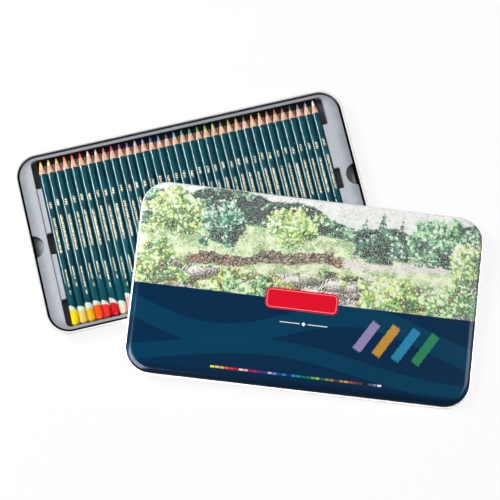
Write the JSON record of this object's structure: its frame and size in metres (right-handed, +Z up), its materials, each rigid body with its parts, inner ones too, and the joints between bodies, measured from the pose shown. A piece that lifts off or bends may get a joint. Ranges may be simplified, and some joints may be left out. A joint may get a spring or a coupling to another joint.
{
  "type": "coloured pencil tin",
  "caption": "Flat metal tin with a formed tray holding a row of round coloured pencils, its lift-off lid leaning on the open tin.",
  "frame": {"origin": "centre of the flat underside of the base tin", "axes": "+X along the row of pencils, +Y towards the pencils' points, +Z up out of the open tin"},
  "size_m": [0.4484, 0.3492, 0.0346],
  "materials": {
    "tinplate": "satin silver lacquered tinplate",
    "tray_plastic": "matte vacuum-formed light grey sheet",
    "printed_tinplate": "satin varnished print on tinplate, white at the shoulder and skirt",
    "pencil": "gloss dark teal lacquer on wood, bare wood cone and coloured core"
  },
  "bodies": {
    "base": {"base_tin": "tinplate"},
    "tray": {"insert_tray": "tray_plastic"},
    "lid": {"lid": "printed_tinplate"},
    "pencil_01": {"pencil_01": "pencil"},
    "pencil_02": {"pencil_02": "pencil"},
    "pencil_03": {"pencil_03": "pencil"},
    "pencil_04": {"pencil_04": "pencil"},
    "pencil_05": {"pencil_05": "pencil"},
    "pencil_06": {"pencil_06": "pencil"},
    "pencil_07": {"pencil_07": "pencil"},
    "pencil_08": {"pencil_08": "pencil"},
    "pencil_09": {"pencil_09": "pencil"},
    "pencil_10": {"pencil_10": "pencil"},
    "pencil_11": {"pencil_11": "pencil"},
    "pencil_12": {"pencil_12": "pencil"},
    "pencil_13": {"pencil_13": "pencil"},
    "pencil_14": {"pencil_14": "pencil"},
    "pencil_15": {"pencil_15": "pencil"},
    "pencil_16": {"pencil_16": "pencil"},
    "pencil_17": {"pencil_17": "pencil"},
    "pencil_18": {"pencil_18": "pencil"},
    "pencil_19": {"pencil_19": "pencil"},
    "pencil_20": {"pencil_20": "pencil"},
    "pencil_21": {"pencil_21": "pencil"},
    "pencil_22": {"pencil_22": "pencil"},
    "pencil_23": {"pencil_23": "pencil"},
    "pencil_24": {"pencil_24": "pencil"},
    "pencil_25": {"pencil_25": "pencil"},
    "pencil_26": {"pencil_26": "pencil"},
    "pencil_27": {"pencil_27": "pencil"},
    "pencil_28": {"pencil_28": "pencil"},
    "pencil_29": {"pencil_29": "pencil"},
    "pencil_30": {"pencil_30": "pencil"},
    "pencil_31": {"pencil_31": "pencil"},
    "pencil_32": {"pencil_32": "pencil"},
    "pencil_33": {"pencil_33": "pencil"},
    "pencil_34": {"pencil_34": "pencil"},
    "pencil_35": {"pencil_35": "pencil"},
    "pencil_36": {"pencil_36": "pencil"}
  },
  "joints": [
    {"name": "tray_lift", "type": "slide", "parent": "base", "child": "tray", "axis": [0, 0, 1], "range_m": [0, 0.06]},
    {"name": "lid_lift", "type": "slide", "parent": "tray", "child": "lid", "axis": [0, 0, 1], "range_m": [0, 0.25]},
    {"name": "pencil_01_lift", "type": "slide", "parent": "tray", "child": "pencil_01", "axis": [0, 0, 1], "range_m": [0, 0.06]},
    {"name": "pencil_02_lift", "type": "slide", "parent": "tray", "child": "pencil_02", "axis": [0, 0, 1], "range_m": [0, 0.06]},
    {"name": "pencil_03_lift", "type": "slide", "parent": "tray", "child": "pencil_03", "axis": [0, 0, 1], "range_m": [0, 0.06]},
    {"name": "pencil_04_lift", "type": "slide", "parent": "tray", "child": "pencil_04", "axis": [0, 0, 1], "range_m": [0, 0.06]},
    {"name": "pencil_05_lift", "type": "slide", "parent": "tray", "child": "pencil_05", "axis": [0, 0, 1], "range_m": [0, 0.06]},
    {"name": "pencil_06_lift", "type": "slide", "parent": "tray", "child": "pencil_06", "axis": [0, 0, 1], "range_m": [0, 0.06]},
    {"name": "pencil_07_lift", "type": "slide", "parent": "tray", "child": "pencil_07", "axis": [0, 0, 1], "range_m": [0, 0.06]},
    {"name": "pencil_08_lift", "type": "slide", "parent": "tray", "child": "pencil_08", "axis": [0, 0, 1], "range_m": [0, 0.06]},
    {"name": "pencil_09_lift", "type": "slide", "parent": "tray", "child": "pencil_09", "axis": [0, 0, 1], "range_m": [0, 0.06]},
    {"name": "pencil_10_lift", "type": "slide", "parent": "tray", "child": "pencil_10", "axis": [0, 0, 1], "range_m": [0, 0.06]},
    {"name": "pencil_11_lift", "type": "slide", "parent": "tray", "child": "pencil_11", "axis": [0, 0, 1], "range_m": [0, 0.06]},
    {"name": "pencil_12_lift", "type": "slide", "parent": "tray", "child": "pencil_12", "axis": [0, 0, 1], "range_m": [0, 0.06]},
    {"name": "pencil_13_lift", "type": "slide", "parent": "tray", "child": "pencil_13", "axis": [0, 0, 1], "range_m": [0, 0.06]},
    {"name": "pencil_14_lift", "type": "slide", "parent": "tray", "child": "pencil_14", "axis": [0, 0, 1], "range_m": [0, 0.06]},
    {"name": "pencil_15_lift", "type": "slide", "parent": "tray", "child": "pencil_15", "axis": [0, 0, 1], "range_m": [0, 0.06]},
    {"name": "pencil_16_lift", "type": "slide", "parent": "tray", "child": "pencil_16", "axis": [0, 0, 1], "range_m": [0, 0.06]},
    {"name": "pencil_17_lift", "type": "slide", "parent": "tray", "child": "pencil_17", "axis": [0, 0, 1], "range_m": [0, 0.06]},
    {"name": "pencil_18_lift", "type": "slide", "parent": "tray", "child": "pencil_18", "axis": [0, 0, 1], "range_m": [0, 0.06]},
    {"name": "pencil_19_lift", "type": "slide", "parent": "tray", "child": "pencil_19", "axis": [0, 0, 1], "range_m": [0, 0.06]},
    {"name": "pencil_20_lift", "type": "slide", "parent": "tray", "child": "pencil_20", "axis": [0, 0, 1], "range_m": [0, 0.06]},
    {"name": "pencil_21_lift", "type": "slide", "parent": "tray", "child": "pencil_21", "axis": [0, 0, 1], "range_m": [0, 0.06]},
    {"name": "pencil_22_lift", "type": "slide", "parent": "tray", "child": "pencil_22", "axis": [0, 0, 1], "range_m": [0, 0.06]},
    {"name": "pencil_23_lift", "type": "slide", "parent": "tray", "child": "pencil_23", "axis": [0, 0, 1], "range_m": [0, 0.06]},
    {"name": "pencil_24_lift", "type": "slide", "parent": "tray", "child": "pencil_24", "axis": [0, 0, 1], "range_m": [0, 0.06]},
    {"name": "pencil_25_lift", "type": "slide", "parent": "tray", "child": "pencil_25", "axis": [0, 0, 1], "range_m": [0, 0.06]},
    {"name": "pencil_26_lift", "type": "slide", "parent": "tray", "child": "pencil_26", "axis": [0, 0, 1], "range_m": [0, 0.06]},
    {"name": "pencil_27_lift", "type": "slide", "parent": "tray", "child": "pencil_27", "axis": [0, 0, 1], "range_m": [0, 0.06]},
    {"name": "pencil_28_lift", "type": "slide", "parent": "tray", "child": "pencil_28", "axis": [0, 0, 1], "range_m": [0, 0.06]},
    {"name": "pencil_29_lift", "type": "slide", "parent": "tray", "child": "pencil_29", "axis": [0, 0, 1], "range_m": [0, 0.06]},
    {"name": "pencil_30_lift", "type": "slide", "parent": "tray", "child": "pencil_30", "axis": [0, 0, 1], "range_m": [0, 0.06]},
    {"name": "pencil_31_lift", "type": "slide", "parent": "tray", "child": "pencil_31", "axis": [0, 0, 1], "range_m": [0, 0.06]},
    {"name": "pencil_32_lift", "type": "slide", "parent": "tray", "child": "pencil_32", "axis": [0, 0, 1], "range_m": [0, 0.06]},
    {"name": "pencil_33_lift", "type": "slide", "parent": "tray", "child": "pencil_33", "axis": [0, 0, 1], "range_m": [0, 0.06]},
    {"name": "pencil_34_lift", "type": "slide", "parent": "tray", "child": "pencil_34", "axis": [0, 0, 1], "range_m": [0, 0.06]},
    {"name": "pencil_35_lift", "type": "slide", "parent": "tray", "child": "pencil_35", "axis": [0, 0, 1], "range_m": [0, 0.06]},
    {"name": "pencil_36_lift", "type": "slide", "parent": "tray", "child": "pencil_36", "axis": [0, 0, 1], "range_m": [0, 0.06]}
  ],
  "couplings": [
    {"joint": "pencil_08_lift", "follows": "lid_lift", "ratio": 0.24},
    {"joint": "pencil_09_lift", "follows": "lid_lift", "ratio": 0.24},
    {"joint": "pencil_10_lift", "follows": "lid_lift", "ratio": 0.24},
    {"joint": "pencil_11_lift", "follows": "lid_lift", "ratio": 0.24},
    {"joint": "pencil_12_lift", "follows": "lid_lift", "ratio": 0.24},
    {"joint": "pencil_13_lift", "follows": "lid_lift", "ratio": 0.24},
    {"joint": "pencil_14_lift", "follows": "lid_lift", "ratio": 0.24},
    {"joint": "pencil_15_lift", "follows": "lid_lift", "ratio": 0.24},
    {"joint": "pencil_16_lift", "follows": "lid_lift", "ratio": 0.24},
    {"joint": "pencil_17_lift", "follows": "lid_lift", "ratio": 0.24},
    {"joint": "pencil_18_lift", "follows": "lid_lift", "ratio": 0.24},
    {"joint": "pencil_19_lift", "follows": "lid_lift", "ratio": 0.24},
    {"joint": "pencil_20_lift", "follows": "lid_lift", "ratio": 0.24},
    {"joint": "pencil_21_lift", "follows": "lid_lift", "ratio": 0.24},
    {"joint": "pencil_22_lift", "follows": "lid_lift", "ratio": 0.24},
    {"joint": "pencil_23_lift", "follows": "lid_lift", "ratio": 0.24},
    {"joint": "pencil_24_lift", "follows": "lid_lift", "ratio": 0.24},
    {"joint": "pencil_25_lift", "follows": "lid_lift", "ratio": 0.24},
    {"joint": "pencil_26_lift", "follows": "lid_lift", "ratio": 0.24},
    {"joint": "pencil_27_lift", "follows": "lid_lift", "ratio": 0.24},
    {"joint": "pencil_28_lift", "follows": "lid_lift", "ratio": 0.24},
    {"joint": "pencil_29_lift", "follows": "lid_lift", "ratio": 0.24},
    {"joint": "pencil_30_lift", "follows": "lid_lift", "ratio": 0.24},
    {"joint": "pencil_31_lift", "follows": "lid_lift", "ratio": 0.24},
    {"joint": "pencil_32_lift", "follows": "lid_lift", "ratio": 0.24},
    {"joint": "pencil_33_lift", "follows": "lid_lift", "ratio": 0.24},
    {"joint": "pencil_34_lift", "follows": "lid_lift", "ratio": 0.24},
    {"joint": "pencil_35_lift", "follows": "lid_lift", "ratio": 0.24},
    {"joint": "pencil_36_lift", "follows": "lid_lift", "ratio": 0.24}
  ]
}
